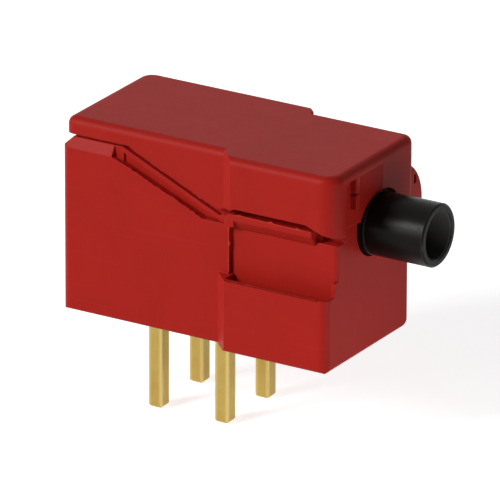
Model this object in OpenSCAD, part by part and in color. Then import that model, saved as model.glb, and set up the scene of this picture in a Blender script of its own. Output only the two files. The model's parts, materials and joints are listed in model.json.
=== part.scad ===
// Miniature right-angle pushbutton switch for a circuit board.
// The frame sits on the board face at the centre of the four pins: +X runs out
// along the plunger, +Z up, and -Y is the side with the stepped block.

/* [Housing] */
// Distance from the centre of the pins to the rear face of the base
rear_len = 4.22; // [3.9:0.01:6]
// Distance from the centre of the pins to the front face of the base
front_len = 6.12; // [5.9:0.01:8]
// Width of the rear part of the housing
body_w = 5.02; // [4.8:0.01:7]
// Height of the housing above the board
body_h = 6.72; // [5.4:0.01:9]
// Thickness of the side walls
side_wall = 0.45; // [0.3:0.01:0.55]
// Thickness of the rear wall of the base
rear_wall = 0.58; // [0.5:0.01:0.8]
// Thickness of the front wall of the base, which carries the plunger
front_wall = 0.75; // [0.5:0.01:0.9]
// Thickness of the floor that holds the terminals
floor_t = 0.9; // [0.5:0.01:1.2]
// Thickness of the roof of the cover
roof_t = 0.5; // [0.3:0.01:0.7]
// How far the cover stops short of the rear face of the base
cover_rear_inset = 0.15; // [0.1:0.01:0.25]
// How far the cover stands out beyond the front face of the base
cover_overhang = 0.3; // [0:0.01:0.4]

/* [Interlocking step] */
// How far the front part steps out on the near side
step_out = 0.53; // [0.3:0.01:0.7]
// How far the front part steps in on the far side
step_in = 0.46; // [0.3:0.01:0.55]
// How far the cover's front part is set in from the base's on the far side
far_rebate = 0.15; // [0.05:0.01:0.25]
// Where the base's near step starts, ahead of the pin centre
near_step_x = 1.75; // [1.6:0.01:2.1]
// Where the cover's near step starts, ahead of the pin centre
cover_step_x = 1.97; // [1.8:0.01:2.1]
// Where the far step starts, ahead of the pin centre
far_step_x = 2.12; // [2:0.01:2.3]
// Height of the block on the near side of the base
block_h = 2.5; // [1.5:0.01:2.8]
// Where the pocket above the block starts, ahead of the pin centre
pocket_x = 2.15; // [2:0.01:2.4]
// Depth of the pocket above the block
pocket_depth = 0.15; // [0.05:0.01:0.2]
// Depth of the trough in the block's top, along the pocket
trough_depth = 0.35; // [0.1:0.01:0.8]
// Thickness of the lip left in front of the trough
trough_lip = 0.14; // [0.14:0.01:0.3]
// Thickness of the web left at each end of the trough
trough_web = 0.12; // [0.08:0.01:0.3]
// Height of the front web above the block
web_rise = 0.47; // [0.1:0.01:0.8]
// Length of the ear on the far side of the base
ear_len = 1.2; // [0.6:0.01:2]
// How far the ear stands out from the cover's far face
ear_out = 0.67; // [0.4:0.01:0.75]
// How far the ear stands out beyond the front face of the base
ear_lead = 0.16; // [0:0.01:0.25]
// Radius of the ear's round edge, which is level with the plunger's axis
ear_r = 1.56; // [1.3:0.01:1.8]
// Depth of the small pit in the front of the ear
pit_depth = 0.12; // [0.05:0.01:0.3]
// Distance from the cover's far face to the pit
pit_in = 0.14; // [0.05:0.01:0.15]
// Width of the pit
pit_w = 0.16; // [0.1:0.01:0.18]
// Height of the pit
pit_h = 0.3; // [0.1:0.01:0.34]

/* [Parting line] */
// Depth of the base's rear rim below the roof
rear_split_drop = 1.07; // [0.95:0.01:1.2]
// Depth of the base's front rim below the roof
front_split_drop = 2.52; // [2.45:0.01:2.6]
// Where the slant of the rim starts
slant_rear_x = -2.3; // [-2.5:0.01:-2.2]
// Where the slant of the rim ends
slant_front_x = 1.17; // [1:0.01:1.3]
// Height of the chamfered rear rim, which the cover stands on
rim_h = 0.35; // [0.25:0.01:0.38]
// How far the rear rim leans in over that height
rim_lean = 0.2; // [0.1:0.01:0.22]
// Where the chamfered rear rim ends
rim_end_x = -1.95; // [-2.1:0.01:-1.85]
// Height of the groove between the rear rim and the cover's skirt
rear_groove = 0.16; // [0.05:0.01:0.2]
// Where the slant of the skirt starts
skirt_slant_x = -1.66; // [-1.8:0.01:-1.5]
// Where the slant of the skirt ends
skirt_dip_x = 1.75; // [1.6:0.01:1.9]
// Height of the skirt above the front rim where its slant ends
skirt_dip = 0.45; // [0.43:0.01:0.6]
// Height of the skirt above the front rim over the block
skirt_rise = 0.81; // [0.6:0.01:1]
// Where the skirt over the block starts
skirt_block_x = 2.7; // [2.55:0.01:3]
// How far the skirt falls toward the end face
skirt_fall = 0.4; // [0.1:0.01:0.5]
// Height of the groove under the slanted skirt
groove_h = 0.23; // [0.1:0.01:0.26]
// Height of the bead under that groove
bead_h = 0.17; // [0.1:0.01:0.19]
// How far the bead is set back from the skirt
bead_inset = 0.08; // [0.04:0.01:0.12]
// Thickness of the seat that carries the cover on the base
seat_t = 0.18; // [0.12:0.01:0.22]
// Length of the apron that hangs over the pocket
apron_len = 3.17; // [2:0.01:3.2]
// How far the apron hangs below the front rim
apron_drop = 0.1; // [0.05:0.01:0.3]
// Height of the apron's upright face
apron_face = 0.2; // [0.1:0.01:0.22]
// Height of the sloping face below it
apron_slope = 0.34; // [0.1:0.01:0.36]
// How far the apron stands out from the base's near face
apron_out = 0.14; // [0.1:0.01:0.2]
// How far the front wall is cut back at the near corner, under the skirt
notch_in = 0.3; // [0.1:0.01:0.5]
// Thickness of the wall left behind that notch
notch_wall = 0.12; // [0.1:0.01:0.3]
// Thickness of the apron
apron_t = 0.26; // [0.2:0.01:0.28]

/* [Edges] */
// Radius of the cover's upright near rear corner
rear_near_r = 0.3; // [0.28:0.01:0.6]
// Radius of the cover's upright far rear corner
rear_far_r = 0.5; // [0.28:0.01:0.6]
// Radius of the cover's upright near front corner
near_corner_r = 0.62; // [0.28:0.01:0.7]
// Radius of the cover's upright far front corner
far_corner_r = 0.35; // [0.28:0.01:0.4]
// Radius of the cover's top edges
top_r = 0.26; // [0.1:0.01:0.27]
// Radius of the base's bottom edges
base_r = 0.12; // [0.05:0.01:0.13]
// Radius of the base's bottom edge on the far side
far_base_r = 0.5; // [0.1:0.01:0.5]
// Radius of the base's upright rear corners
base_corner_r = 0.27; // [0.14:0.01:0.3]
// Radius of the base's upright front corners
front_corner_r = 0.14; // [0.14:0.01:0.2]
// Radius of the block's upright front corner
block_corner_r = 0.3; // [0.14:0.01:0.4]

/* [End face] */
// Depth of the recess beside the plunger
recess_depth = 0.22; // [0.05:0.01:0.25]
// Distance from the cover's near face to the recess
recess_in = 0.74; // [0.7:0.01:1]
// Width of the recess, whose floor slopes out to the end face
recess_w = 2.3; // [1.6:0.01:2.6]
// Depth of the recess's top below the roof
recess_drop = 0.34; // [0.3:0.01:0.5]
// Radius of the recess's upper near corner
recess_r = 0.25; // [0.05:0.01:0.3]
// Distance from the recess's near side to the rib in it
rib_in = 0.6; // [0.3:0.01:1]
// Height of the rib in the recess
rib_h = 1.08; // [0.3:0.01:1.1]
// Width of the rib in the recess
rib_w = 0.2; // [0.1:0.01:0.3]
// Height of the notch across the rib
rib_notch = 0.12; // [0.05:0.01:0.2]

/* [Plunger] */
// Depth of the plunger's axis below the roof
axis_drop = 2.42; // [2.2:0.01:2.46]
// Radius of the part of the plunger that stands out
plunger_r = 1.06; // [0.8:0.01:1.12]
// How much thicker the guided part of the plunger is, on the radius
guide_step = 0.02; // [0.01:0.01:0.04]
// How far the plunger stands out beyond the base
plunger_out = 2.39; // [2:0.01:3.5]
// Thickness of the tube at the plunger's end
tube_wall = 0.26; // [0.2:0.01:0.5]
// Depth of the hole in the plunger's end
bore_depth = 2.1; // [1:0.05:2.4]
// Travel of the plunger
travel = 0.95; // [0.5:0.01:1]
// Thickness of the shoulder that keeps the plunger in
shoulder_t = 0.6; // [0.4:0.01:0.7]
// Radius of the shank behind the shoulder
shank_r = 0.75; // [0.6:0.01:0.8]
// How far the shank reaches behind the web that guides it
shank_lead = 0.7; // [0.4:0.01:0.8]
// Thickness of that web
web_t = 0.4; // [0.3:0.01:0.5]
// Radius of the stem that carries the contact bar and springs
stem_r = 0.38; // [0.25:0.01:0.42]
// Room left behind the stem when the plunger is pressed in
stem_room = 0.3; // [0.1:0.01:0.4]
// Chamfer at the ends of the plunger
plunger_edge = 0.06; // [0.02:0.01:0.1]
// How far the guided part of the plunger ends inside the cover's face
guide_setback = 0.1; // [0.02:0.01:0.2]

/* [Terminals] */
// Distance between the pins, both ways
pitch = 2.54; // [2.4:0.01:2.9]
// Side of a square pin
pin_w = 0.508; // [0.4:0.001:0.64]
// Length of a pin below the board face
pin_len = 3.27; // [2.5:0.01:5]
// Radius at the tip of a pin
tip_r = 0.19; // [0.05:0.01:0.19]
// Radius along the edges of a pin
pin_edge_r = 0.05; // [0.02:0.01:0.08]
// Distance between a terminal's blade and the side wall
blade_gap = 0.21; // [0.1:0.01:0.3]
// How far a blade rises above the plunger's axis
blade_rise = 0.62; // [0.45:0.01:0.8]
// Radius at the top of a blade
blade_r = 0.2; // [0.05:0.01:0.24]

/* [Contacts] */
// Thickness of the contact bar
bar_t = 0.2; // [0.12:0.01:0.3]
// Height of the contact bar
bar_h = 1.0; // [0.9:0.01:1.2]
// Radius of the bar's corners
bar_corner_r = 0.15; // [0.05:0.01:0.4]
// Width of the bar beyond the heads of its contacts
bar_margin = 0.06; // [0.02:0.01:0.08]
// Radius of a contact's head
head_r = 0.34; // [0.25:0.01:0.38]
// Height of the moving contacts' heads
moving_head = 0.16; // [0.08:0.01:0.2]
// Radius of a contact's shank
rivet_r = 0.17; // [0.1:0.01:0.22]

/* [Springs] */
// Wire of the return spring
return_wire = 0.15; // [0.1:0.01:0.18]
// Outside radius of the return spring
return_r = 0.78; // [0.6:0.01:0.85]
// Working turns of the return spring
return_turns = 8; // [5:1:11]
// Wire of the contact spring
contact_wire = 0.12; // [0.08:0.01:0.14]
// Outside radius of the contact spring
contact_r = 0.68; // [0.55:0.01:0.72]
// Working turns of the contact spring
contact_turns = 4; // [3:1:6]
// Depth of the return spring's seat in the rear wall
spring_seat = 0.15; // [0.05:0.01:0.25]

/* [Clearances] */
// Running clearance of the plunger in its guides, on the radius
run_gap = 0.05; // [0.02:0.01:0.09]
// Clearance where the plunger leaves the cover, on the radius
mouth_gap = 0.11; // [0.08:0.01:0.2]
// Clearance between parts that pass or sit beside each other
side_gap = 0.1; // [0.05:0.01:0.15]
// Clearance of a pin in the floor, on each side
slot_gap = 0.02; // [0.01:0.01:0.05]
// Gap left between the contacts when they close
close_gap = 0.02; // [0.01:0.01:0.03]

/* [Hidden] */
$fn = 48;
coil_sides = 8;
coil_steps = 14;
// The coil is drawn this much finer than its wire, inside the flat end rings
coil_fit = 0.98;
cut = 0.5;
far = 20;

// Housing faces
half_w = body_w / 2;
near_y = -half_w - step_out;
far_y = half_w - step_in;
base_far_y = far_y + far_rebate;
rear_x = -rear_len;
cover_rear_x = rear_x + cover_rear_inset;
cover_front_x = front_len + cover_overhang;
inner_rear_x = rear_x + rear_wall;
inner_front_x = front_len - front_wall;
inner_y = half_w - side_wall;
inner_far_y = far_y - side_wall;
inner_top = body_h - roof_t;
apron_y = -half_w - apron_out;
apron_end_x = pocket_x + apron_len;

// Heights of the parting line
rear_rim_z = body_h - rear_split_drop;
rear_seat_z = rear_rim_z + rim_h;
front_rim_z = body_h - front_split_drop;
skirt_rear_z = rear_seat_z + rear_groove;
skirt_dip_z = front_rim_z + skirt_dip;
skirt_block_z = front_rim_z + skirt_rise;
skirt_end_z = skirt_block_z - skirt_fall;
bead_slope = (skirt_dip_z - skirt_rear_z) / (skirt_dip_x - skirt_slant_x);
rim_slope = (front_rim_z - rear_rim_z) / (slant_front_x - slant_rear_x);

// Plunger, along X
axis_z = body_h - axis_drop;
guide_r = plunger_r + guide_step;
bore_r = plunger_r - tube_wall;
tip_x = front_len + plunger_out;
shoulder_x = inner_front_x - close_gap;
shoulder_r = min(inner_far_y, axis_drop - roof_t) - side_gap;
web_x = far_step_x + step_in;
shank_end_x = web_x - shank_lead;
guide_end_x = cover_front_x - guide_setback;

// Contacts, along X
post = pitch / 2;
blade_face = post - pin_w / 2;
bar_stack = bar_t + 2 * moving_head;
fixed_head = blade_face - (bar_stack + travel) / 2 - close_gap;
bar_front_x = blade_face - fixed_head - close_gap - moving_head;
bar_rear_x = bar_front_x - bar_t;
blade_w = inner_y - blade_gap - blade_face;
contact_y = blade_face + blade_w / 2;
bar_y = contact_y + head_r + bar_margin;
blade_top = axis_z + blade_rise;
stem_end_x = inner_rear_x + travel + stem_room;

// ---- Flat outlines ----

// What a round leaves outside it at a square corner, pointing to -x, -y
module corner_waste(x, y, r, turn) {
    translate([x, y]) rotate(turn) difference() {
        translate([-cut, -cut]) square(r + cut);
        translate([r, r]) circle(r);
    }
}

// A rectangle whose corners are rounded by r = [low left, low right, top right, top left]
module round_rect(x0, y0, x1, y1, r) {
    difference() {
        translate([x0, y0]) square([x1 - x0, y1 - y0]);
        corner_waste(x0, y0, r[0], 0);
        corner_waste(x1, y0, r[1], 90);
        corner_waste(x1, y1, r[2], 180);
        corner_waste(x0, y1, r[3], 270);
    }
}

// The outline seen from above: the front part steps out at step_x on the near side and in
// on the far side, with r = [near rear, near front, far front, far rear]
module plan(x0, x1, step_x, out, in, r) {
    difference() {
        polygon([
            [x0, -half_w], [step_x, -half_w], [step_x + out, -half_w - out],
            [x1, -half_w - out], [x1, half_w - in], [far_step_x + in, half_w - in],
            [far_step_x, half_w], [x0, half_w]]);
        corner_waste(x0, -half_w, r[0], 0);
        corner_waste(x1, -half_w - out, r[1], 90);
        corner_waste(x1, half_w - in, r[2], 180);
        corner_waste(x0, half_w, r[3], 270);
    }
}

// The inside seen from above, from x0 to x1 and one wall inside the outline
module inner_plan(x0, x1, wall) {
    ramp_x = far_step_x - wall * tan(22.5);
    y = half_w - wall;
    polygon([
        [x0, -y], [x1, -y], [x1, far_y - wall],
        [ramp_x + step_in, far_y - wall], [ramp_x, y], [x0, y]]);
}

// Side outline of all that lies above a line
module above(line) {
    polygon(concat(line, [[far, far], [-far, far]]));
}

// The face between base and cover, from the rear to the front
function seat_line() = [
    [-far, rear_seat_z], [rim_end_x, rear_seat_z], [rim_end_x, rim_z(rim_end_x)],
    [slant_front_x, front_rim_z], [far, front_rim_z]];

// The base's rim, on the outside of the walls
function rim_line() = [
    [-far, rear_rim_z], [slant_rear_x, rear_rim_z],
    [slant_front_x, front_rim_z], [far, front_rim_z]];
function rim_z(x) = rear_rim_z + rim_slope * (x - slant_rear_x);

// The lower edge of the cover's skirt
function skirt_line() = [
    [-far, skirt_rear_z], [skirt_slant_x, skirt_rear_z], [skirt_dip_x, skirt_dip_z],
    [skirt_block_x, skirt_block_z], [apron_end_x, skirt_block_z],
    [cover_front_x, skirt_end_z], [far, skirt_end_z]];

// The skirt's slant moved down by drop, running on to the rear
function bead_line(drop) = [
    [slant_rear_x, skirt_dip_z - drop + bead_slope * (slant_rear_x - skirt_dip_x)],
    [skirt_dip_x, skirt_dip_z - drop]];

// ---- Placing ----

// Extrudes an outline drawn in x and z through the whole width
module through_y() {
    along_y(-far, far) children();
}

// Extrudes an outline drawn in x and z from y0 to y1
module along_y(y0, y1) {
    translate([0, y1, 0]) rotate([90, 0, 0]) linear_extrude(y1 - y0) children();
}

// Extrudes an outline drawn in y and z from x0 to x1
module along_x(x0, x1) {
    translate([x0, 0, 0]) rotate([90, 0, 90]) linear_extrude(x1 - x0) children();
}

// A round bar on the plunger's axis
module axis_bar(x0, x1, r) {
    translate([x0, 0, axis_z]) rotate([0, 90, 0]) cylinder(h = x1 - x0, r = r);
}

// ---- Housing ----

// The cover's outer form, down to the board, with its long faces set back by inset
module cover_form(inset) {
    top = [0, 0, top_r, top_r];
    difference() {
        intersection() {
            linear_extrude(body_h)
                plan(cover_rear_x, cover_front_x, cover_step_x, step_out, step_in, [0, 0, 0, 0]);
            union() {
                along_x(cover_rear_x, far_step_x + step_in)
                    round_rect(inset - half_w, 0, half_w - inset, body_h, top);
                along_x(cover_step_x, cover_front_x)
                    round_rect(near_y + inset, 0, far_y - inset, body_h, top);
            }
            through_y() round_rect(cover_rear_x, -cut, cover_front_x, body_h, top);
        }
        corner_cut(cover_rear_x, -half_w, rear_near_r, 0);
        corner_cut(cover_front_x, near_y, near_corner_r, 90);
        corner_cut(cover_front_x, far_y, far_corner_r, 180);
        corner_cut(cover_rear_x, half_w, rear_far_r, 270);
    }
}

// What an upright corner of radius r leaves outside it, with the top edge rolled over it
module corner_cut(x, y, r, turn) {
    translate([x, y, 0]) rotate(turn) difference() {
        translate([-cut, -cut, -cut]) cube([r + cut, r + cut, body_h + 2 * cut]);
        translate([r, r, 0]) rotate_extrude() difference() {
            translate([0, -2 * cut]) square([r, body_h + 2 * cut]);
            corner_waste(r, body_h, top_r, 180);
        }
    }
}

// Hole for the plunger, its guide web and the shoulder's room
module plunger_way() {
    axis_bar(inner_front_x - cut, cover_front_x + cut, guide_r + run_gap);
    axis_bar(web_x - cut, web_x + web_t + cut, shank_r + run_gap);
}

// The wall across the hollow that guides the plunger's shank
module web() {
    intersection() {
        translate([web_x, -far, floor_t / 2]) cube([web_t, 2 * far, inner_top]);
        linear_extrude(body_h) inner_plan(inner_rear_x, inner_front_x, side_wall);
    }
}

module hollow(z0, z1) {
    difference() {
        translate([0, 0, z0]) linear_extrude(z1 - z0)
            inner_plan(inner_rear_x, inner_front_x, side_wall);
        web();
    }
}

// The round ear that stands beside the cover on the far side
module ear() {
    x1 = front_len + ear_lead;
    pit_z = axis_z + (ear_r - pit_h) / 2;
    difference() {
        along_x(x1 - ear_len, x1) intersection() {
            translate([far_y + ear_out - ear_r, axis_z]) circle(ear_r);
            translate([far_y, 0]) square([far, body_h]);
        }
        translate([x1 - pit_depth, far_y + pit_in, pit_z])
            cube([pit_depth + cut, pit_w, pit_h]);
    }
}

// The base's outer form, up to the roof
module base_form() {
    in = step_in - far_rebate;
    intersection() {
        union() {
            intersection() {
                linear_extrude(block_h)
                    plan(rear_x, front_len, near_step_x, step_out, in,
                        [base_corner_r, block_corner_r, front_corner_r, base_corner_r]);
                along_x(near_step_x, front_len)
                    round_rect(near_y, 0, base_far_y, far, [base_r, far_base_r, 0, 0]);
            }
            intersection() {
                linear_extrude(body_h) difference() {
                    plan(rear_x, front_len, near_step_x, 0, in,
                        [base_corner_r, front_corner_r, front_corner_r, base_corner_r]);
                    pocket_plan();
                }
                union() {
                    along_x(rear_x, far_step_x + in) base_section(half_w);
                    along_x(far_step_x, front_len) base_section(base_far_y);
                }
            }
        }
        through_y() polygon([
            [rear_x, 0], [front_len, 0], [front_len, far],
            [rear_x + rim_h, far], [rear_x + rim_h, rear_seat_z], [rear_x, rear_rim_z]]);
        through_y() round_rect(rear_x, 0, front_len, far, [base_r, base_r, 0, 0]);
    }
}

// Cross-section of the base out to face_y, with its rim chamfered on both sides
module base_section(face_y) {
    difference() {
        round_rect(-half_w, 0, face_y, rear_seat_z, [base_r, far_base_r, 0, 0]);
        for (side = [-1, 1]) polygon([
            [side * half_w, rear_rim_z], [side * (half_w - rim_lean), rear_seat_z],
            [side * (half_w - rim_lean), far], [side * far, far], [side * far, rear_rim_z]]);
    }
}

// The shallow pocket over the block, seen from above
module pocket_plan() {
    translate([pocket_x, -half_w - cut]) square([far, cut + pocket_depth]);
    corner_waste(front_len, -half_w + pocket_depth, front_corner_r, 90);
}

// The trough along the foot of the pocket
module trough() {
    x0 = pocket_x + trough_web;
    y0 = near_y + trough_lip;
    translate([x0, y0, block_h - trough_depth])
        cube([front_len - trough_web - x0, pocket_depth - half_w - y0, trough_depth + cut]);
}

// The web that closes the front end of the pocket's foot
module pocket_web() {
    translate([front_len - trough_web, -half_w, block_h - trough_depth])
        cube([trough_web, pocket_depth + front_corner_r, trough_depth + web_rise]);
}

module pin_slots() {
    w = pin_w + 2 * slot_gap;
    for (x = [-post, post], y = [-post, post])
        translate([x - w / 2, y - w / 2, -cut]) cube([w, w, floor_t + 2 * cut]);
}

module base() {
    color([0.66, 0.10, 0.07]) difference() {
        union() {
            difference() {
                base_form();
                through_y() above(seat_line());
                for (y0 = [-far, half_w - rim_lean])
                    along_y(y0, y0 + far + rim_lean - half_w) intersection() {
                        above(rim_line());
                        translate([slant_rear_x, 0]) square(far);
                    }
                trough();
            }
            pocket_web();
            ear();
        }
        hollow(floor_t, body_h);
        plunger_way();
        axis_bar(inner_rear_x - spring_seat, 0, return_r + run_gap);
        translate([inner_rear_x - spring_seat, -return_r - run_gap, axis_z])
            cube([spring_seat + cut, 2 * (return_r + run_gap), body_h]);
        pin_slots();
    }
}

// The part of the cover that stands on the base, behind the groove under the skirt
module cover_seat() {
    intersection() {
        linear_extrude(body_h - roof_t / 2)
            inner_plan(inner_rear_x - seat_t, front_len, side_wall - seat_t);
        through_y() above(seat_line());
    }
}

// The bead that runs down the slant under the groove, and sits on the rim at its foot
module bead() {
    intersection() {
        cover_form(bead_inset);
        translate([rim_end_x, apron_y, 0])
            cube([pocket_x + apron_t - rim_end_x, half_w - bead_inset - apron_y, body_h]);
        through_y() above(seat_line());
        through_y() difference() {
            above(concat(bead_line(groove_h + bead_h),
                [[skirt_dip_x, front_rim_z], [far, front_rim_z]]));
            above(concat(bead_line(groove_h), [[skirt_block_x, skirt_block_z - groove_h]]));
        }
    }
}

// The apron that hangs over the pocket and slopes in at its foot
module apron() {
    foot_z = front_rim_z - apron_drop;
    slope_z = foot_z + apron_slope;
    back_y = apron_y + apron_t;
    along_x(pocket_x, apron_end_x) polygon([
        [apron_y, slope_z + apron_face], [apron_y, slope_z],
        [back_y, foot_z], [back_y, front_rim_z],
        [-inner_y - seat_t / 2, front_rim_z], [-inner_y - seat_t / 2, slope_z + apron_face]]);
}

// The recess beside the plunger, open at the foot, with a notched rib in it
module end_recess() {
    x0 = cover_front_x - recess_depth;
    y0 = near_y + recess_in;
    y1 = y0 + rib_in;
    top = body_h - recess_drop;
    difference() {
        intersection() {
            linear_extrude(body_h) polygon([
                [x0, y0], [cover_front_x + cut, y0], [cover_front_x + cut, y0 + recess_w],
                [cover_front_x, y0 + recess_w], [x0, y1 + rib_w]]);
            along_x(x0 - cut, cover_front_x + cut)
                round_rect(y0, axis_z, y0 + recess_w, top, [0, 0, 0, recess_r]);
        }
        for (z = [top - rib_h, top - (rib_h - rib_notch) / 2])
            translate([x0 - cut, y1, z])
                cube([recess_depth + 3 * cut, rib_w, (rib_h - rib_notch) / 2]);
    }
}

// The notch under the skirt at the near front corner
module corner_notch() {
    x0 = inner_front_x + notch_wall;
    translate([x0, near_y, front_rim_z - cut])
        cube([front_len + cut - x0, side_wall - seat_t + notch_in + step_out, cut + skirt_dip]);
}

module cover() {
    color([0.62, 0.09, 0.07]) difference() {
        union() {
            intersection() {
                cover_form(0);
                through_y() above(skirt_line());
            }
            difference() {
                cover_seat();
                corner_notch();
            }
            bead();
            apron();
        }
        hollow(0, inner_top);
        near_core();
        plunger_way();
        axis_bar(front_len, cover_front_x + cut, plunger_r + mouth_gap);
        end_recess();
        axis_bar(inner_rear_x - spring_seat, 0, return_r + run_gap);
    }
}

// Hollow in the thick near wall of the cover's stepped front part
module near_core() {
    x0 = cover_step_x + step_out + side_wall / 2;
    z0 = skirt_block_z + side_wall / 2;
    translate([x0, near_y + side_wall, z0])
        cube([inner_front_x - x0, step_out + cut / 2, inner_top - z0]);
}

// ---- Plunger ----

module plunger() {
    edge = plunger_edge;
    color([0.05, 0.05, 0.05])
    translate([0, 0, axis_z]) rotate([0, 90, 0]) rotate_extrude() polygon([
        [0, stem_end_x], [stem_r - edge, stem_end_x], [stem_r, stem_end_x + edge],
        [stem_r, shank_end_x], [shank_r, shank_end_x], [shank_r, shoulder_x - shoulder_t],
        [shoulder_r, shoulder_x - shoulder_t], [shoulder_r, shoulder_x], [guide_r, shoulder_x],
        [guide_r, guide_end_x], [plunger_r, guide_end_x], [plunger_r, tip_x - edge],
        [plunger_r - edge, tip_x], [bore_r + edge, tip_x], [bore_r, tip_x - edge],
        [bore_r, tip_x - bore_depth], [0, tip_x - bore_depth]]);
}

// ---- Springs ----

// Ring of points round the wire at one place along a coil on the X axis
function coil_ring(turn, x, r, wire) = [
    for (k = [0 : coil_sides - 1])
        let (a = 360 * k / coil_sides, out = r + wire / 2 * cos(a))
        [x + wire / 2 * sin(a), out * cos(turn), out * sin(turn)]];

// One open coil from x0 to x1, with a flat ground ring at each end
module coil(x0, x1, outer_r, wire, turns) {
    mean_r = outer_r - wire / 2;
    n = turns * coil_steps;
    run = x1 - x0 - 2 * wire;
    points = [for (i = [0 : n]) each
        coil_ring(360 * i / coil_steps, x0 + wire + run * i / n, mean_r, wire * coil_fit)];
    sides = [for (i = [0 : n - 1], k = [0 : coil_sides - 1])
        let (a = i * coil_sides + k, b = i * coil_sides + (k + 1) % coil_sides)
        [a, b, b + coil_sides, a + coil_sides]];
    ends = [
        [for (k = [coil_sides - 1 : -1 : 0]) k],
        [for (k = [0 : coil_sides - 1]) n * coil_sides + k]];
    translate([0, 0, axis_z]) {
        polyhedron(points, concat(sides, ends));
        for (x = [x0, x1 - wire]) translate([x, 0, 0]) rotate([0, 90, 0]) difference() {
            cylinder(h = wire, r = outer_r);
            translate([0, 0, -cut]) cylinder(h = wire + 2 * cut, r = outer_r - wire);
        }
    }
}

module return_spring() {
    color([0.75, 0.75, 0.72])
        coil(inner_rear_x - spring_seat, bar_rear_x, return_r, return_wire, return_turns);
}

module contact_spring() {
    color([0.75, 0.75, 0.72])
        coil(bar_front_x, shank_end_x, contact_r, contact_wire, contact_turns);
}

// ---- Contacts ----

module contact_bar() {
    color([0.78, 0.62, 0.32]) difference() {
        along_x(bar_rear_x, bar_front_x)
            round_rect(-bar_y, axis_z - bar_h / 2, bar_y, axis_z + bar_h / 2,
                [bar_corner_r, bar_corner_r, bar_corner_r, bar_corner_r]);
        axis_bar(bar_rear_x - cut, bar_front_x + cut, stem_r + run_gap);
        for (side = [-1, 1]) translate([0, side * contact_y, 0])
            axis_bar(bar_rear_x - cut, bar_front_x + cut, rivet_r);
    }
}

// A rivet that gives the bar a contact face on both sides
module moving_contact(side) {
    color([0.88, 0.88, 0.86]) translate([0, side * contact_y, 0]) {
        axis_bar(bar_rear_x, bar_front_x, rivet_r);
        axis_bar(bar_rear_x - moving_head, bar_rear_x, head_r);
        axis_bar(bar_front_x, bar_front_x + moving_head, head_r);
    }
}

// One stamped terminal: a square pin with a wider blade that stands on the floor
module terminal(x_side, y_side) {
    x0 = x_side * post - pin_w / 2;
    y0 = y_side * post - pin_w / 2;
    tip = [tip_r, tip_r, 0, 0];
    edges = [pin_edge_r, pin_edge_r, pin_edge_r, pin_edge_r];
    color([0.80, 0.66, 0.30]) difference() {
        union() {
            intersection() {
                along_x(x0, x0 + pin_w) round_rect(y0, -pin_len, y0 + pin_w, floor_t, tip);
                along_y(y0, y0 + pin_w) round_rect(x0, -pin_len, x0 + pin_w, floor_t, tip);
                translate([0, 0, -pin_len]) linear_extrude(pin_len + floor_t)
                    round_rect(x0, y0, x0 + pin_w, y0 + pin_w, edges);
            }
            along_x(x0, x0 + pin_w) mirror([y_side < 0 ? 1 : 0, 0])
                round_rect(blade_face, floor_t, blade_face + blade_w, blade_top,
                    [0, 0, blade_r, blade_r / 2]);
        }
        translate([0, y_side * contact_y, 0]) axis_bar(x0 - cut, x0 + pin_w + cut, rivet_r);
    }
}

// A contact whose head faces the bar and whose shank is riveted through the blade
module fixed_contact(x_side, y_side) {
    face = x_side * blade_face;
    back = x_side * (blade_face + pin_w);
    tip = x_side * (blade_face - fixed_head);
    color([0.88, 0.88, 0.86]) translate([0, y_side * contact_y, 0]) {
        axis_bar(min(face, tip), max(face, tip), head_r);
        axis_bar(min(face, back), max(face, back), rivet_r);
    }
}

base();
cover();
plunger();
return_spring();
contact_spring();
contact_bar();
moving_contact(-1);  // moving_contact_near
moving_contact(1);  // moving_contact_far
terminal(-1, -1);  // terminal_rear_near
terminal(-1, 1);  // terminal_rear_far
terminal(1, -1);  // terminal_front_near
terminal(1, 1);  // terminal_front_far
fixed_contact(-1, -1);  // fixed_contact_rear_near
fixed_contact(-1, 1);  // fixed_contact_rear_far
fixed_contact(1, -1);  // fixed_contact_front_near
fixed_contact(1, 1);  // fixed_contact_front_far
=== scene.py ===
# %% [markdown]
# # A miniature pushbutton switch
#
# The switch is about 13 mm long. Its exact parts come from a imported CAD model, and this
# lesson gives them their finish: moulded red plastic, a satin black plunger and gold plated
# pins. Lengths are written in millimetres and turned into metres, because Blender works in
# metres and the CAD frame does too.

# %% Load the frame
import json
import math
import random

import bmesh
import bpy
from mathutils import Matrix, Vector


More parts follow.
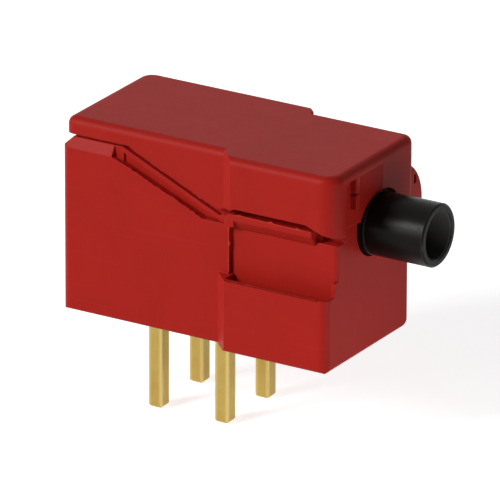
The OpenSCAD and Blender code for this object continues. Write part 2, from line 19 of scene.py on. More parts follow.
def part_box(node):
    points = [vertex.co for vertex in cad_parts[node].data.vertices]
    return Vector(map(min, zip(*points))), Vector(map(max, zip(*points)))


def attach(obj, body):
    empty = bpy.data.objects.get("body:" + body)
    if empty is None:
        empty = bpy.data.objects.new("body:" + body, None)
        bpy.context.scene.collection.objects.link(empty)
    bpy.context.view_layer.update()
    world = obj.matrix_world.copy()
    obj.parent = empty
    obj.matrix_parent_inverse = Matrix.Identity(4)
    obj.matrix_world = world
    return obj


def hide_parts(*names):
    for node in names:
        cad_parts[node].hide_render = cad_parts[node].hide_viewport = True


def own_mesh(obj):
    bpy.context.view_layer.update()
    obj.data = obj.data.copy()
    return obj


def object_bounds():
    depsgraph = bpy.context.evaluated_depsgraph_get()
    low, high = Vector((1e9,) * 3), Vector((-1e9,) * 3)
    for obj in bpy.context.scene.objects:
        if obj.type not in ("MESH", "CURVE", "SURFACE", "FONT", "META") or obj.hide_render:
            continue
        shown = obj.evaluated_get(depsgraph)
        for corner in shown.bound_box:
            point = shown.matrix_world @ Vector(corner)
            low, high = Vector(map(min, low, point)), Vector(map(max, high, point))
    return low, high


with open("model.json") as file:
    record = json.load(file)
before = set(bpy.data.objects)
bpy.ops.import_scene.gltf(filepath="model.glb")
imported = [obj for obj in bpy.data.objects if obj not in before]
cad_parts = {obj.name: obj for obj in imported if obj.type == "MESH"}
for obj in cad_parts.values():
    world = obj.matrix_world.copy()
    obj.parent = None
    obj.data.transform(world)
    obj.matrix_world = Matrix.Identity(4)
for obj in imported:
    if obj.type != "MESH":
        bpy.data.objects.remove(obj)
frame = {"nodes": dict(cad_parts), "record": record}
cad_box = [list(corner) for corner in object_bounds()]
nodes = frame["nodes"]


def mm(length):
    """Millimetres as metres."""
    return length / 1000


def in_mm(point):
    """A point in metres as rounded millimetres, for printing."""
    return [round(1000 * value, 2) for value in point]


print("CAD box in mm:", [in_mm(corner) for corner in cad_box])

# %% [markdown]
# ## Camera
#
# A small product is usually shown from far away through a long lens, so that upright edges
# stay upright. The camera here stands about 0.3 m from a 13 mm object, which is the same
# thing at this scale. It is placed by two angles and a distance from an aiming point, and a
# small shift frames the object without turning the camera.

# %% Camera
AIM = Vector((mm(1), 0, mm(2.5)))
AZIMUTH = math.radians(31.36)
ELEVATION = math.radians(21.30)
ROLL = math.radians(0.15)
DISTANCE = mm(293.9)


def toward_viewer(azimuth, elevation):
    """The direction from the aiming point to a viewer; azimuth 0 stands at -Y."""
    return Vector((
        math.sin(azimuth) * math.cos(elevation),
        -math.cos(azimuth) * math.cos(elevation),
        math.sin(elevation)))


back = toward_viewer(AZIMUTH, ELEVATION)
level_right = Vector((math.cos(AZIMUTH), math.sin(AZIMUTH), 0))
level_up = back.cross(level_right)
right = level_right * math.cos(ROLL) + level_up * math.sin(ROLL)
up = level_up * math.cos(ROLL) - level_right * math.sin(ROLL)
camera_data = bpy.data.cameras.new("product_camera")
camera_data.sensor_width = 36
camera_data.lens = 650.8
camera_data.shift_x = 0.0223
camera_data.shift_y = -0.0135
camera_data.clip_start = mm(10)
camera_data.clip_end = 20
camera = bpy.data.objects.new("product_camera", camera_data)
bpy.context.collection.objects.link(camera)
camera.matrix_world = Matrix((
    (right.x, up.x, back.x, AIM.x + back.x * DISTANCE),
    (right.y, up.y, back.y, AIM.y + back.y * DISTANCE),
    (right.z, up.z, back.z, AIM.z + back.z * DISTANCE),
    (0, 0, 0, 1)))
bpy.context.scene.camera = camera
print("Camera stands at", in_mm(camera.location), "mm")

# %% [markdown]
# ## Small helpers for node trees
#
# Every finish below is a node tree. A few helpers keep the trees short: one adds a node and
# fills in its settings, some stand for the nodes that are used most, and one starts a node
# group with named inputs and outputs. A group is the right tool when several materials share
# an effect, because it is built once.

# %% Node helpers
WHITE = (1, 1, 1, 1)
# Where a Mix node keeps its factor, first, second and result, for each kind of value
MIX_SOCKETS = {"FLOAT": (0, 2, 3, 0), "RGBA": (0, 6, 7, 2)}


def connect(tree, socket, value):
    """Links what comes from another node to a socket, or writes a plain value in it."""
    if isinstance(value, bpy.types.NodeSocket):
        tree.links.new(value, socket)
    else:
        socket.default_value = value


def add_node(tree, kind, settings=None, **inputs):
    """Adds a node, sets its properties, and fills its inputs by name."""
    node = tree.nodes.new(kind)
    for name, value in (settings or {}).items():
        setattr(node, name, value)
    for name, value in inputs.items():
        connect(tree, node.inputs[name.replace("_", " ")], value)
    return node


def calculate(tree, operation, *values):
    """The result of a Math node."""
    node = add_node(tree, "ShaderNodeMath", {"operation": operation})
    for socket, value in zip(node.inputs, values):
        connect(tree, socket, value)
    return node.outputs["Value"]


def calculate_vector(tree, operation, *vectors):
    """The outputs of a Vector Math node; a length or product is at "Value"."""
    node = add_node(tree, "ShaderNodeVectorMath", {"operation": operation})
    for socket, vector in zip(node.inputs, vectors):
        connect(tree, socket, vector)
    return node.outputs


def spread(tree, value, low, high, start=0.0, end=1.0):
    """Maps a value from start..end to low..high."""
    return add_node(
        tree, "ShaderNodeMapRange", Value=value, From_Min=start, From_Max=end,
        To_Min=low, To_Max=high).outputs["Result"]


def blend(tree, factor, first, second, kind="RGBA"):
    """Mixes two colours by a factor from 0 to 1, or two plain values with kind FLOAT."""
    node = add_node(tree, "ShaderNodeMix", {"data_type": kind})
    *filled, result = MIX_SOCKETS[kind]
    for index, value in zip(filled, (factor, first, second)):
        connect(tree, node.inputs[index], value)
    return node.outputs[result]


# %% Places and groups
def place_in_mm(tree, stretch=(1, 1, 1)):
    """Object coordinates in millimetres, optionally stretched along an axis."""
    place = add_node(tree, "ShaderNodeTexCoord")
    scale = tuple(1000 * factor for factor in stretch)
    return add_node(
        tree, "ShaderNodeMapping", Vector=place.outputs["Object"], Scale=scale).outputs["Vector"]


def noise(tree, place, **inputs):
    """A noise from 0 to 1, mostly near 0.5."""
    return add_node(tree, "ShaderNodeTexNoise", Vector=place, **inputs).outputs["Fac"]


def start_group(name, inputs, outputs):
    """A shader node group; inputs are (name, kind, value) and outputs are (name, kind)."""
    tree = bpy.data.node_groups.new(name, "ShaderNodeTree")
    for label, kind, value in inputs:
        socket = tree.interface.new_socket(label, in_out="INPUT", socket_type="NodeSocket" + kind)
        socket.default_value = value
    for label, kind in outputs:
        tree.interface.new_socket(label, in_out="OUTPUT", socket_type="NodeSocket" + kind)
    print("Shared effect:", name)
    return tree, tree.nodes.new("NodeGroupInput").outputs, tree.nodes.new("NodeGroupOutput").inputs


# %% [markdown]
# ## Shared effects
#
# Moulded plastic is never quite even. The steel mould leaves a fine grain, the flow of the
# melt leaves broad, faint changes of shade, and handling rubs the edges and leaves hair
# scratches. The edge mask also carries painted highlight, so paler edges are partly wear and
# partly painted highlight. Each is a group that puts out a value or a colour, so a material can
# use it at its own strength. All of them read Object coordinates, so they stay on the piece when
# it moves.

# %% Group: moulded grain
# How much of the broader swell is added to the fine grain
SWELL_SHARE = 0.5
# The heights between which nearly all of the grain lies
GRAIN_RANGE = {"start": 0.3, "end": 1.2}


def make_moulded_grain():
    """Fine spark-eroded mould grain over a broader swell, as a height."""
    tree, inputs, outputs = start_group(
        "Moulded grain", [("Per mm", "Float", 14.0)], [("Height", "Float")])
    place = place_in_mm(tree)
    fine = noise(tree, place, Scale=inputs["Per mm"], Detail=5.0, Roughness=0.6)
    broad = noise(tree, place, Scale=2.2, Detail=2.0)
    connect(tree, outputs["Height"], calculate(tree, "MULTIPLY_ADD", broad, SWELL_SHARE, fine))
    return tree


GRAIN = make_moulded_grain()


# %% Group: shade drift
def make_shade_drift():
    """Broad, faint changes of shade from the flow of the melt."""
    tree, inputs, outputs = start_group(
        "Shade drift",
        [("Colour", "Color", WHITE), ("Amount", "Float", 0.08), ("Per mm", "Float", 0.45)],
        [("Colour", "Color")])
    cloud = noise(
        tree, place_in_mm(tree), Scale=inputs["Per mm"], Detail=4.0, Roughness=0.55,
        Distortion=0.6)
    centred = calculate(tree, "SUBTRACT", cloud, 0.5)
    change = calculate(tree, "MULTIPLY_ADD", centred, inputs["Amount"], 1.0)
    shaded = add_node(
        tree, "ShaderNodeVectorMath", {"operation": "SCALE"},
        Vector=inputs["Colour"], Scale=change)
    connect(tree, outputs["Colour"], shaded.outputs["Vector"])
    return tree


DRIFT = make_shade_drift()


# %% Group: edge wear and painted highlight
# Its mask paints paler edges, partly as wear and partly as painted highlight.
def make_edge_wear_and_highlight():
    """A mask that is 1 on sharp edges and 0 on flats, broken up by noise."""
    tree, inputs, outputs = start_group(
        "Rubbed edges", [("Width mm", "Float", 0.08), ("Break up", "Float", 0.5)],
        [("Mask", "Float")])
    width = calculate(tree, "MULTIPLY", inputs["Width mm"], mm(1))
    rounded = add_node(tree, "ShaderNodeBevel", {"samples": 4}, Radius=width)
    plain = add_node(tree, "ShaderNodeNewGeometry")
    agree = calculate_vector(
        tree, "DOT_PRODUCT", rounded.outputs["Normal"], plain.outputs["Normal"])["Value"]
    bent = spread(tree, agree, low=0.0, high=1.0, start=0.995, end=0.86)
    patches = noise(tree, place_in_mm(tree), Scale=3.0, Detail=5.0, Roughness=0.7)
    worn_and_highlit = spread(tree, patches, low=0.2, high=1.0, start=0.35, end=0.65)
    patched = calculate(tree, "MULTIPLY", bent, worn_and_highlit)
    connect(tree, outputs["Mask"], blend(tree, inputs["Break up"], bent, patched, "FLOAT"))
    return tree


EDGE_WEAR_AND_HIGHLIGHT = make_edge_wear_and_highlight()


# %% Group: hair scratches
# Three sets of lines; each runs along the axis in which its noise is stretched least
SCRATCH_STRETCHES = ((0.5, 9, 7), (6, 0.7, 8), (8, 5, 0.6))


def make_hair_scratches():
    """Sparse fine lines from handling, as a mask."""
    tree, inputs, outputs = start_group(
        "Hair scratches", [("Density", "Float", 0.5)], [("Mask", "Float")])
    sets = []
    for stretch in SCRATCH_STRETCHES:
        lines = noise(
            tree, place_in_mm(tree, stretch), Scale=1.0, Detail=3.0, Distortion=0.4)
        sets.append(spread(tree, lines, low=0.0, high=1.0, start=0.64, end=0.72))
    strongest = sets[0]
    for lines in sets[1:]:
        strongest = calculate(tree, "MAXIMUM", strongest, lines)
    connect(tree, outputs["Mask"], calculate(tree, "MULTIPLY", strongest, inputs["Density"]))
    return tree


SCRATCHES = make_hair_scratches()


# %% [markdown]
# ## Materials
#
# A material starts with one Principled shader. Values that are the same all over are set on
# its own sockets, and only what changes over the surface comes through nodes.

# %% Material helpers
def start_material(name, **sockets):
    """A material with a Principled shader whose plain values are set directly."""
    material = bpy.data.materials.new(name)
    material.use_nodes = True
    shader = material.node_tree.nodes["Principled BSDF"]
    for socket, value in sockets.items():
        shader.inputs[socket.replace("_", " ")].default_value = value
    print("Finish:", name)
    return material, material.node_tree, shader


def effect(tree, group, **inputs):
    """Places a shared effect in a material, with its own values."""
    return add_node(tree, "ShaderNodeGroup", {"node_tree": group}, **inputs).outputs


def raise_surface(tree, shader, height, depth_mm, strength=1.0, edge_mm=0.02):
    """Bumps a surface by a height of depth_mm at most, over edges softened to edge_mm."""
    soft = add_node(tree, "ShaderNodeBevel", {"samples": 6}, Radius=mm(edge_mm))
    bump = add_node(
        tree, "ShaderNodeBump", Height=height, Distance=mm(depth_mm), Strength=strength,
        Normal=soft.outputs["Normal"])
    connect(tree, shader.inputs["Normal"], bump.outputs["Normal"])


# %% [markdown]
# ### Red housing
#
# The base and the cover are moulded in the same glass-filled thermoplastic. It is opaque and
# a deep, slightly orange red. Its skin is satin, so it shows a pale sheen on faces seen at a
# shallow angle. Sharp edges are a little paler than the flats, partly as rubbed wear and partly
# as painted highlight. Two calls with slightly different values keep the two mouldings from
# looking like one lump.

# %% Material: red housing
# Edges are painted paler, partly as rubbed wear and partly as painted highlight.
EDGE_PALER_WEAR_AND_HIGHLIGHT = 1.35
EDGE_LIFT_WEAR_AND_HIGHLIGHT = 0.005
SCUFF_COLOUR = (0.5, 0.2, 0.18, 1)


def make_housing_plastic(name, colour, roughness):
    """Satin red plastic with drifting shade, paler edges of wear and painted highlight, scuffs and
    a mould grain.
    """
    material, tree, shader = start_material(name, IOR=1.5, Specular_IOR_Level=0.085)
    shade = effect(tree, DRIFT, Colour=(*colour, 1), Amount=0.26, Per_mm=0.5)["Colour"]
    edges = effect(tree, EDGE_WEAR_AND_HIGHLIGHT, Width_mm=0.06, Break_up=0.8)["Mask"]
    scratches = effect(tree, SCRATCHES, Density=0.5)["Mask"]
    # The paler edge colour is partly wear and partly painted highlight.
    paler = [min(1, channel * EDGE_PALER_WEAR_AND_HIGHLIGHT + EDGE_LIFT_WEAR_AND_HIGHLIGHT) for channel in colour]
    worn_and_highlit = blend(tree, spread(tree, edges, low=0.0, high=0.45), shade, (*paler, 1))
    scuffed = blend(tree, spread(tree, scratches, low=0.0, high=0.04), worn_and_highlit, SCUFF_COLOUR)
    connect(tree, shader.inputs["Base Color"], scuffed)
    grain = effect(tree, GRAIN, Per_mm=13.0)["Height"]
    satin = spread(tree, grain, low=roughness - 0.05, high=roughness + 0.07, **GRAIN_RANGE)
    connect(tree, shader.inputs["Roughness"], satin)
    raise_surface(tree, shader, grain, depth_mm=0.0035, strength=0.6, edge_mm=0.05)
    return material


BASE_RED = make_housing_plastic("Red moulding, base", (0.400, 0.0148, 0.0098), 0.44)
COVER_RED = make_housing_plastic("Red moulding, cover", (0.402, 0.0155, 0.0104), 0.46)

# %% [markdown]
# ### Black plunger
#
# The plunger is moulded in a smoother black. It isn't pure black: a satin skin lifts it, its
# rim is a little paler, partly as wear where fingers and caps have rubbed it and partly as
# painted highlight, and the bore of its end is painted a paler grey, which is painted light.
# The bore needs a mask, and the distance from the bore's axis gives one.

# %% Material: black plunger
bore = next(mount for mount in frame["record"]["mounts"] if mount["name"] == "plunger_bore")
BORE_CENTRE_MM = tuple(1000 * value for value in bore["pos_m"])
BORE_RADIUS_MM = bore["dims"]["r_mm"]
BORE_EDGE_MM = 0.02
PLUNGER_COLOUR = (0.0058, 0.0047, 0.0040, 1)
# The rim colour is partly wear and partly painted highlight; the bore colour is painted light.
PLUNGER_RIM_WEAR_AND_HIGHLIGHT = (0.045, 0.043, 0.040, 1)
BORE_PAINTED_LIGHT = (0.085, 0.083, 0.076, 1)
SCRATCH_DULLING = 0.12


def make_plunger_plastic():
    """Smooth black plastic with a paler rim of wear and painted highlight, painted light in the
    bore, and scratches.
    """
    material, tree, shader = start_material(
        "Black moulding, plunger", IOR=1.5, Specular_IOR_Level=0.075)
    shade = effect(tree, DRIFT, Colour=PLUNGER_COLOUR, Amount=0.35, Per_mm=0.9)["Colour"]
    edges = effect(tree, EDGE_WEAR_AND_HIGHLIGHT, Width_mm=0.07, Break_up=0.5)["Mask"]
    # Paler rim: partly wear, partly painted highlight.
    worn_and_highlit = blend(tree, spread(tree, edges, low=0.0, high=0.9), shade, PLUNGER_RIM_WEAR_AND_HIGHLIGHT)
    # The inside of the bore is painted a paler grey: painted light.
    place = place_in_mm(tree)
    from_centre = calculate_vector(tree, "SUBTRACT", place, BORE_CENTRE_MM)["Vector"]
    across = calculate_vector(tree, "MULTIPLY", from_centre, (0, 1, 1))["Vector"]
    distance = calculate_vector(tree, "LENGTH", across)["Value"]
    inside = spread(
        tree, distance, low=1.0, high=0.0,
        start=BORE_RADIUS_MM, end=BORE_RADIUS_MM + BORE_EDGE_MM)
    connect(tree, shader.inputs["Base Color"], blend(tree, inside, worn_and_highlit, BORE_PAINTED_LIGHT))
    grain = effect(tree, GRAIN, Per_mm=20.0)["Height"]
    scratches = effect(tree, SCRATCHES, Density=0.7)["Mask"]
    satin = spread(tree, grain, low=0.25, high=0.34, **GRAIN_RANGE)
    scuffed = calculate(tree, "MULTIPLY_ADD", scratches, SCRATCH_DULLING, satin)
    connect(tree, shader.inputs["Roughness"], scuffed)
    raise_surface(tree, shader, grain, depth_mm=0.002, strength=0.5)
    return material


PLUNGER_BLACK = make_plunger_plastic()
print("Plunger bore starts at", in_mm(bore["pos_m"]), "mm, radius", BORE_RADIUS_MM, "mm")

# %% [markdown]
# ### Plated pins and contacts
#
# The terminals are stamped from copper alloy strip and plated with a thin, matt gold. Metals
# take their colour from the Base Color socket. Stamping and plating leave fine lines along a
# pin, and those come from a noise that is drawn out along Z.

# %% Group: drawn metal
def make_drawn_metal():
    """Fine lines along the pins, and broader clouds of tarnish."""
    tree, inputs, outputs = start_group(
        "Drawn metal", [("Lines per mm", "Float", 26.0)],
        [("Lines", "Float"), ("Clouds", "Float")])
    long_lines = place_in_mm(tree, (1, 1, 0.03))
    tall_clouds = place_in_mm(tree, (1, 1, 0.6))
    lines = noise(tree, long_lines, Scale=inputs["Lines per mm"], Detail=4.0, Roughness=0.6)
    clouds = noise(tree, tall_clouds, Scale=1.6, Detail=4.0, Roughness=0.6)
    connect(tree, outputs["Lines"], lines)
    connect(tree, outputs["Clouds"], clouds)
    return tree


DRAWN = make_drawn_metal()

# %% [markdown]
# ### Painted highlight on the pin corners
#
# The upright corners of the square pins carry a painted highlight in a paler gold. The four
# pins stand at the corners of a square around the origin, so taking the size of X and Y without
# their signs folds them onto one pin, and the distances from its centre line, added together,
# are largest at its corners. Only the pins can use that mask; the other metals take the edge
# mask made above, which is partly wear and partly painted highlight.

# %% Group: painted corner highlight
pin_low, pin_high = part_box("terminal_front_far")
PIN_FROM_AXIS_MM = 1000 * (pin_low[0] + pin_high[0]) / 2


def make_painted_corner_highlight():
    """A mask for the painted highlight on the corners of the square pins."""
    tree, inputs, outputs = start_group(
        "Burnished corners", [("Start mm", "Float", 0.40), ("End mm", "Float", 0.46)],
        [("Mask", "Float")])
    folded = calculate_vector(tree, "ABSOLUTE", place_in_mm(tree))["Vector"]
    centred = calculate_vector(
        tree, "SUBTRACT", folded, (PIN_FROM_AXIS_MM, PIN_FROM_AXIS_MM, 0))["Vector"]
    apart = calculate_vector(tree, "ABSOLUTE", centred)["Vector"]
    split = add_node(tree, "ShaderNodeSeparateXYZ", Vector=apart).outputs
    reach = calculate(tree, "ADD", split["X"], split["Y"])
    corners = spread(
        tree, reach, low=0.0, high=1.0, start=inputs["Start mm"], end=inputs["End mm"])
    connect(tree, outputs["Mask"], corners)
    return tree


CORNER_HIGHLIGHT = make_painted_corner_highlight()
print(f"Pins stand {PIN_FROM_AXIS_MM:.3f} mm from the middle, both ways")


# %% Material: plated metal
def make_plated_metal(name, colour, tarnish, polished_and_highlight, roughness, square_pin=False):
    """Plated metal with clouds and lines of tarnish, and paler corners or edges, which are painted
    highlight and, on the edges, partly wear.
    """
    material, tree, shader = start_material(name, Metallic=1.0)
    metal = effect(tree, DRAWN, Lines_per_mm=22.0)
    cloudy = spread(tree, metal["Clouds"], low=0.0, high=1.0, start=0.35, end=0.75)
    clouded = blend(tree, cloudy, (*colour, 1), (*tarnish, 1))
    lined = spread(tree, metal["Lines"], low=0.0, high=0.22, start=0.45, end=0.75)
    streaked = blend(tree, lined, clouded, (*tarnish, 1))
    # Pins get a painted highlight on their corners; other metals get paler edges of wear and
    # painted highlight.
    if square_pin:
        bright = effect(tree, CORNER_HIGHLIGHT, Start_mm=0.385, End_mm=0.465)["Mask"]
    else:
        bright = effect(tree, EDGE_WEAR_AND_HIGHLIGHT, Width_mm=0.04, Break_up=0.5)["Mask"]
    connect(tree, shader.inputs["Base Color"], blend(tree, bright, streaked, (*polished_and_highlight, 1)))
    satin = spread(
        tree, metal["Lines"], low=roughness - 0.06, high=roughness + 0.10, start=0.3, end=0.7)
    connect(tree, shader.inputs["Roughness"], satin)
    raise_surface(tree, shader, metal["Lines"], depth_mm=0.003, strength=0.5)
    return material


# %% Metal finishes
PIN_GOLD = make_plated_metal(
    "Gold plated terminals", colour=(0.425, 0.312, 0.086), tarnish=(0.375, 0.236, 0.056),
    polished_and_highlight=(0.54, 0.42, 0.145), roughness=0.29, square_pin=True)
BAR_GOLD = make_plated_metal(
    "Plated contact bar", colour=(0.68, 0.50, 0.18), tarnish=(0.52, 0.36, 0.13),
    polished_and_highlight=(0.80, 0.64, 0.28), roughness=0.35)
CONTACT_SILVER = make_plated_metal(
    "Silver contacts", colour=(0.80, 0.79, 0.76), tarnish=(0.58, 0.56, 0.52),
    polished_and_highlight=(0.90, 0.89, 0.86), roughness=0.28)
SPRING_STEEL = make_plated_metal(
    "Spring wire", colour=(0.58, 0.58, 0.57), tarnish=(0.38, 0.38, 0.38),
    polished_and_highlight=(0.70, 0.70, 0.69), roughness=0.25)

# %% [markdown]
# ### A finish for every CAD node
#
# The CAD meshes stay as they are, and only their material slots are filled. There are several
# terminals and contacts, so a word in the node's name gives their finish.

# %% Give every CAD node its finish
FINISHES = {
    "base": BASE_RED, "cover": COVER_RED, "plunger": PLUNGER_BLACK,
    "return_spring": SPRING_STEEL, "contact_spring": SPRING_STEEL, "contact_bar": BAR_GOLD}
for name, node in nodes.items():
    if name.startswith("terminal"):
        finish = PIN_GOLD
    elif "_contact_" in name:
        finish = CONTACT_SILVER
    else:
        finish = FINISHES[name]
    node.data.materials.clear()
    node.data.materials.append(finish)
    print(f"{name}: {finish.name}")


# %% [markdown]
# ## Pieces made here
#
# A few pieces are made in Blender and not in the CAD model. Each one starts as a bmesh, which
# is the editable form of a mesh. Once shaped it becomes an object at the origin with its place
# in its mesh, as the CAD nodes have.

# %% Piece helper
def add_object(name, shape, finish):
    """Turns a shaped bmesh into an object with a finish."""
    mesh = bpy.data.meshes.new(name)
    shape.to_mesh(mesh)
    shape.free()
    mesh.materials.append(finish)
    made = bpy.data.objects.new(name, mesh)
    bpy.context.collection.objects.link(made)
    print(f"{name}: {len(mesh.polygons)} faces")
    return made


# %% [markdown]
# ### The return spring
#
# The imported model keeps the return spring rigid, but the real one shortens as the plunger
# goes in. A copy of its coil stands for it here, with its loose triangles merged.

# %% Return spring
MERGE_DISTANCE = mm(0.0005)
coil = bmesh.new()
coil.from_mesh(nodes["return_spring"].data)
bmesh.ops.remove_doubles(coil, verts=coil.verts, dist=MERGE_DISTANCE)
return_spring = add_object("return_spring_coil", coil, SPRING_STEEL)
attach(return_spring, "housing")
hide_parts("return_spring")
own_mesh(return_spring)

# %% [markdown]
# ### Moulding flash
#
# Where two halves of a mould meet, a little melt creeps between them and sets as a ragged
# lip, a few hundredths of a millimetre thick. It makes the edges of a small part look soft
# and uneven. Each lip is a strip from create_grid: one row of points sits just inside the
# edge, the other reaches out by a seeded, uneven amount, and solidify gives it its thickness.
# A few wider tongues stand out further. The lip is then moved until it stands a few
# thousandths of a millimetre proud of its face, so that the two faces don't coincide.

# %% Moulding flash
FLASH_THICK = mm(0.03)
FLASH_PROUD = mm(0.004)
FLASH_MERGE = mm(0.002)
FLASH_ROOT_MM = 0.03
FLASH_STEP_MM = 0.05
FLASH_LEAST_STEPS = 8
FLASH_UNEVEN = (0.15, 1.0)
FLASH_END_TAPER = 12
# This flash is a paler orange than the moulding: a painted glint along the ridge, pocket and
# block.
FLASH_GLINT_RED = make_housing_plastic("Red moulding, thin flash", (0.50, 0.036, 0.016), 0.50)


def moulding_flash(name, face_y, start, end, direction, reach, tongues, finish, seed):
    """A ragged lip on a face at face_y, from start to end as (x, z), all in mm.

    It grows in a direction (x, z) by reach, and by each tongue's (place, half width, reach).
    """
    chance = random.Random(seed)
    start, end = Vector((start[0], face_y, start[1])), Vector((end[0], face_y, end[1]))
    direction = Vector((direction[0], 0, direction[1])).normalized()
    steps = max(FLASH_LEAST_STEPS, round((end - start).length / FLASH_STEP_MM))
    uneven = [chance.uniform(*FLASH_UNEVEN) for _ in range(steps + 1)]
    lip = bmesh.new()
    bmesh.ops.create_grid(lip, x_segments=steps, y_segments=1, size=0.5)
    for vert in lip.verts:
        along, out = vert.co.x + 0.5, vert.co.y + 0.5
        extra = sum(more * max(0, 1 - abs(along - place) / half) for place, half, more in tongues)
        length = reach * uneven[round(along * steps)] + extra
        taper = min(1, FLASH_END_TAPER * along, FLASH_END_TAPER * (1 - along))
        grown = length * taper * out - FLASH_ROOT_MM * (1 - out)
        vert.co = start.lerp(end, along) + direction * grown
        vert.co *= mm(1)
    bmesh.ops.remove_doubles(lip, verts=lip.verts, dist=FLASH_MERGE)
    bmesh.ops.solidify(lip, geom=lip.faces[:], thickness=FLASH_THICK)
    bmesh.ops.recalc_face_normals(lip, faces=lip.faces)
    nearest = min(vert.co.y for vert in lip.verts)
    bmesh.ops.translate(lip, verts=lip.verts, vec=(0, mm(face_y) - FLASH_PROUD - nearest, 0))
    piece = add_object(name, lip, finish)
    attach(piece, "housing")


# %% Where the flash is
# The faces that the lips lie on. The block's face is the CAD model's own limit, so its lip
# starts a little inside it and ends level with it.
NEAR_FACE_Y = -2.51
RIDGE_FACE_Y = -2.65
BLOCK_FACE_Y = 1000 * (cad_box[0][1] + FLASH_PROUD)
UP = (0, 1)
FORWARD = (1, 0)
OFF_THE_SLANT = (0.386, 0.922)
UNDER_THE_SLANT = (-0.386, -0.922)
moulding_flash(
    "flash_ridge", RIDGE_FACE_Y, (2.45, 4.66), (5.05, 4.61), UP, 0.015,
    [(0.08, 0.05, 0.04), (0.52, 0.05, 0.06), (0.91, 0.05, 0.07)], FLASH_GLINT_RED, seed=3)
moulding_flash(
    "flash_pocket", NEAR_FACE_Y, (2.15, 2.56), (2.15, 4.25), FORWARD, 0.022,
    [(0.04, 0.05, 0.03), (0.60, 0.05, 0.05), (0.95, 0.05, 0.03)], FLASH_GLINT_RED, seed=5)
moulding_flash(
    "flash_block", BLOCK_FACE_Y, (2.20, 2.50), (5.80, 2.50), UP, 0.012,
    [(0.30, 0.03, 0.02), (0.97, 0.03, 0.05)], FLASH_GLINT_RED, seed=8)
moulding_flash(
    "flash_slant_base", NEAR_FACE_Y, (-2.25, 5.629), (1.10, 4.229), OFF_THE_SLANT, 0.05,
    [(0.2, 0.1, 0.02), (0.7, 0.12, 0.03)], BASE_RED, seed=13)
moulding_flash(
    "flash_slant_cover", NEAR_FACE_Y, (-1.60, 6.133), (1.70, 4.672), UNDER_THE_SLANT, 0.05,
    [(0.35, 0.1, 0.03), (0.8, 0.08, 0.03)], COVER_RED, seed=21)

# %% [markdown]
# ## Floor
#
# The switch stands on the tips of its pins, on a plain pale floor. The floor is white only to
# the camera and in reflections: Light Path tells those rays apart, and the extra glow that
# they see puts no light on the object. The floor still takes the object's shadow.

# %% Floor
FLOOR_HALF_WIDTH = mm(1500)
FLOOR_GLOW = 0.78
floor_material, floor_tree, floor_shader = start_material(
    "Pale floor", Base_Color=(0.82, 0.82, 0.82, 1), Roughness=0.9, Specular_IOR_Level=0.1)
paths = add_node(floor_tree, "ShaderNodeLightPath").outputs
seen = calculate(floor_tree, "MAXIMUM", paths["Is Camera Ray"], paths["Is Glossy Ray"])
glow = add_node(
    floor_tree, "ShaderNodeEmission", Color=WHITE,
    Strength=calculate(floor_tree, "MULTIPLY", seen, FLOOR_GLOW))
both = add_node(floor_tree, "ShaderNodeAddShader")
floor_tree.links.new(floor_shader.outputs["BSDF"], both.inputs[0])
floor_tree.links.new(glow.outputs["Emission"], both.inputs[1])
floor_tree.links.new(
    both.outputs["Shader"], floor_tree.nodes["Material Output"].inputs["Surface"])
floor_shape = bmesh.new()
bmesh.ops.create_grid(floor_shape, x_segments=4, y_segments=4, size=FLOOR_HALF_WIDTH)
bmesh.ops.translate(floor_shape, verts=floor_shape.verts, vec=(0, 0, cad_box[0][2]))
floor = add_object("floor", floor_shape, floor_material)

# %% [markdown]
# ## Surroundings
#
# The world is plain white to the camera, in reflections and through glass, so that glossy
# metal has something pale to show. To everything else it gives only a little light, because
# the lamps do that work.

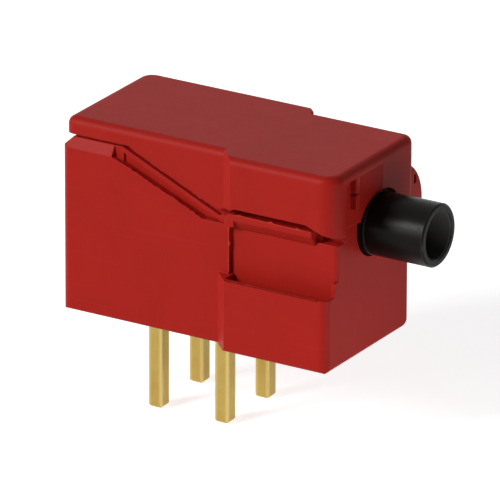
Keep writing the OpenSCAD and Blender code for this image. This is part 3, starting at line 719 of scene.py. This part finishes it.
# %% World
WORLD_LIGHT = 0.05
world = bpy.data.worlds.new("pale studio")
bpy.context.scene.world = world
world.use_nodes = True
sky = world.node_tree
sky.nodes.clear()
rays = add_node(sky, "ShaderNodeLightPath").outputs
direct = calculate(sky, "MAXIMUM", rays["Is Camera Ray"], rays["Is Transmission Ray"])
shown = calculate(sky, "MAXIMUM", direct, rays["Is Glossy Ray"])
lighting = add_node(sky, "ShaderNodeBackground", Color=WHITE, Strength=WORLD_LIGHT)
backdrop = add_node(sky, "ShaderNodeBackground", Color=WHITE, Strength=1.0)
chosen = add_node(sky, "ShaderNodeMixShader")
sky.links.new(shown, chosen.inputs[0])
sky.links.new(lighting.outputs["Background"], chosen.inputs[1])
sky.links.new(backdrop.outputs["Background"], chosen.inputs[2])
sky_output = add_node(sky, "ShaderNodeOutputWorld")
sky.links.new(chosen.outputs["Shader"], sky_output.inputs["Surface"])
print("World lights the object at", WORLD_LIGHT)


# %% [markdown]
# ## Lamps
#
# A large lamp up on the left lights the stepped side and the top, a weaker and lower one
# fills that side, and a small card low on the right lifts the end face and the pins. A lamp
# behind lights the far side, which this camera doesn't see. Each lamp is given by the angles
# that it stands at, and by how bright a white face turned to it comes out. The light that
# reaches that face is the lamp's power over pi times the distance squared, and the face shows
# a pi-th of it.

# %% Lamps
def add_lamp(name, azimuth, elevation, distance, width, height, level):
    """A flat lamp that faces the object; a white face turned to it comes out near level."""
    data = bpy.data.lights.new(name, "AREA")
    data.shape = "RECTANGLE"
    data.size = width
    data.size_y = height
    data.energy = level * math.pi * (math.pi * distance ** 2)
    lamp = bpy.data.objects.new(name, data)
    bpy.context.collection.objects.link(lamp)
    direction = toward_viewer(math.radians(azimuth), math.radians(elevation))
    lamp.location = AIM + direction * distance
    lamp.rotation_euler = direction.to_track_quat("Z", "Y").to_euler()
    print(f"{name}: {data.energy:.5f} W")
    return lamp


add_lamp("key", -28, 31, distance=mm(450), width=mm(150), height=mm(150), level=0.735)
add_lamp("left_fill", -30, 12, distance=mm(450), width=mm(100), height=mm(100), level=0.12)
add_lamp("low_card", 78, -12, distance=mm(17), width=mm(10), height=mm(3), level=0.16)
back_fill = add_lamp(
    "back_fill", 195, 8, distance=mm(450), width=mm(150), height=mm(150), level=0.40)
back_fill.visible_glossy = False  # it faces the camera, so its glare would lie over the top

# %% [markdown]
# ## Finish
#
# The Standard view transform shows each colour about as it is written. The box of the CAD
# model is kept as cad_box.

# %% Finish
bpy.context.scene.view_settings.view_transform = "Standard"
